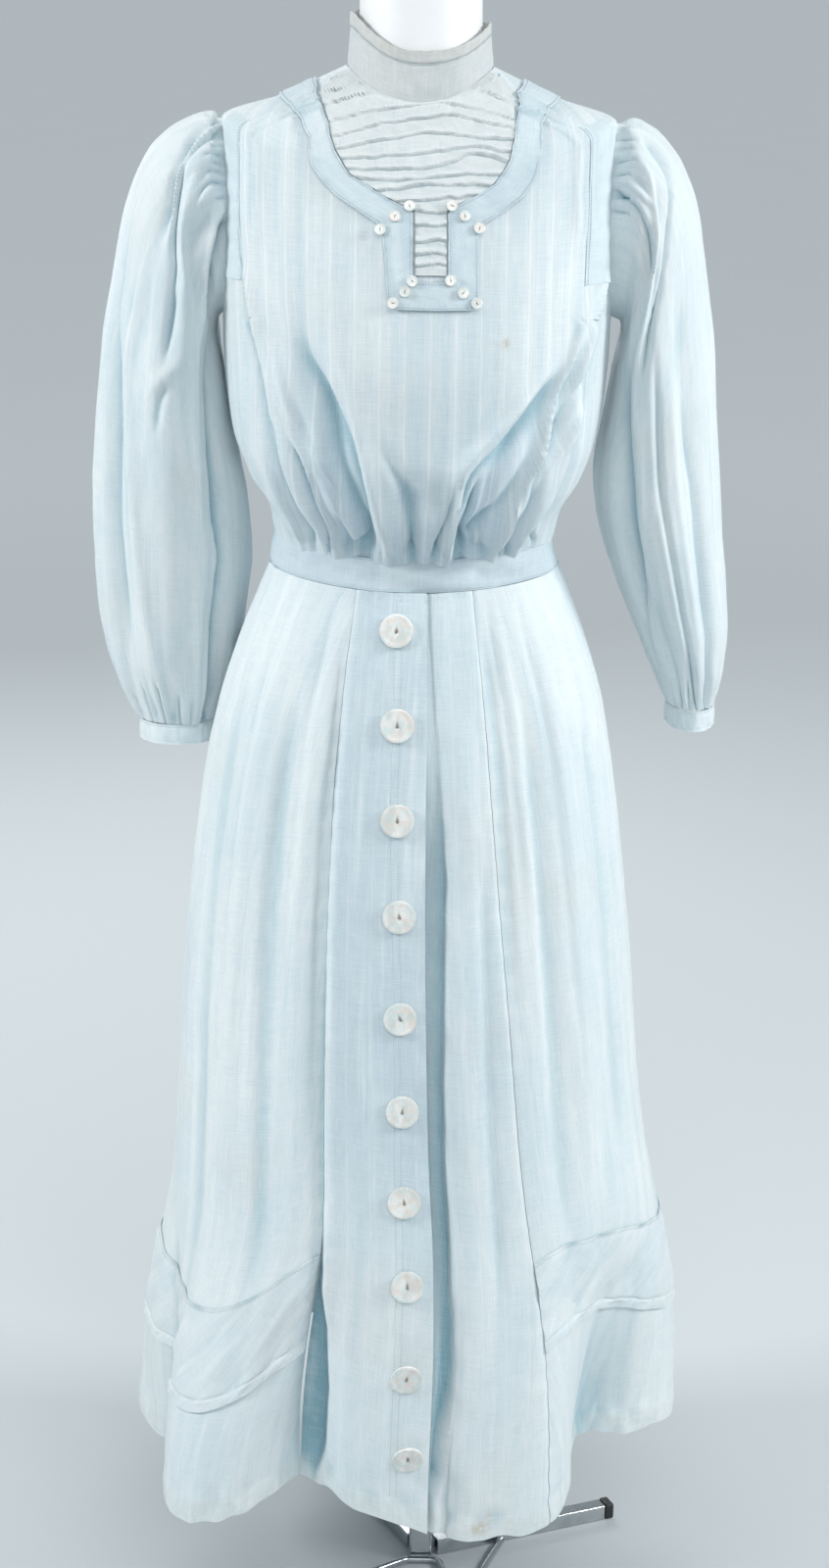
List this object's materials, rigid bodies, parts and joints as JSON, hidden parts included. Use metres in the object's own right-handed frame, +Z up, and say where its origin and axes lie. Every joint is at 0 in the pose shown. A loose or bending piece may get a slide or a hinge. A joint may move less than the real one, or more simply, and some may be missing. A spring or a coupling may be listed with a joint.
{
  "type": "prairie dress on a limbless dress form and a pole stand",
  "caption": "Long-sleeved, high-collared day dress with a tucked yoke and a buttoned front, on a limbless dress form with a pole and splayed feet.",
  "frame": {"origin": "middle of the pole's underside, on the floor", "axes": "+Z up; the dress faces -Y; +X is to the right of someone who looks at its front"},
  "size_m": [0.5615, 0.4524, 1.505],
  "materials": {
    "striped_cotton": "very pale blue cotton with fine woven whiter stripes, washed and soft",
    "plain_blue_cotton": "plain pale blue cotton, matt",
    "white_cotton": "fine white cotton, matt, slightly yellowed at the collar",
    "pearl_shell": "polished shell with a soft pearly sheen",
    "form_white": "smooth white shell, satin",
    "chrome": "polished",
    "black_plastic": "moulded, satin"
  },
  "bodies": {
    "root": {"armhole_strip_left": "plain_blue_cotton", "armhole_strip_right": "plain_blue_cotton", "back_placket": "plain_blue_cotton", "bias_band_back": "striped_cotton", "bias_band_left": "striped_cotton", "bias_band_right": "striped_cotton", "bodice_back_left": "striped_cotton", "bodice_back_right": "striped_cotton", "bodice_front": "striped_cotton", "cap_rear": "black_plastic", "cap_right": "black_plastic", "collar": "white_cotton", "collar_edge": "white_cotton", "cuff_left": "striped_cotton", "cuff_right": "striped_cotton", "dress_form": "form_white", "foot_rod": "chrome", "large_button_01": "pearl_shell", "large_button_02": "pearl_shell", "large_button_03": "pearl_shell", "large_button_04": "pearl_shell", "large_button_05": "pearl_shell", "large_button_06": "pearl_shell", "large_button_07": "pearl_shell", "large_button_08": "pearl_shell", "large_button_09": "pearl_shell", "large_button_10": "pearl_shell", "leg_rear": "chrome", "leg_right": "chrome", "pole": "chrome", "skirt_back": "striped_cotton", "skirt_front_left": "striped_cotton", "skirt_front_right": "striped_cotton", "skirt_side_left": "striped_cotton", "skirt_side_right": "striped_cotton", "sleeve_left": "striped_cotton", "sleeve_right": "striped_cotton", "small_button_01": "pearl_shell", "small_button_02": "pearl_shell", "small_button_03": "pearl_shell", "small_button_04": "pearl_shell", "small_button_05": "pearl_shell", "small_button_06": "pearl_shell", "small_button_07": "pearl_shell", "small_button_08": "pearl_shell", "small_button_09": "pearl_shell", "small_button_10": "pearl_shell", "small_button_11": "pearl_shell", "small_button_12": "pearl_shell", "waistband": "plain_blue_cotton", "yoke": "white_cotton", "yoke_band": "plain_blue_cotton"}
  },
  "joints": []
}
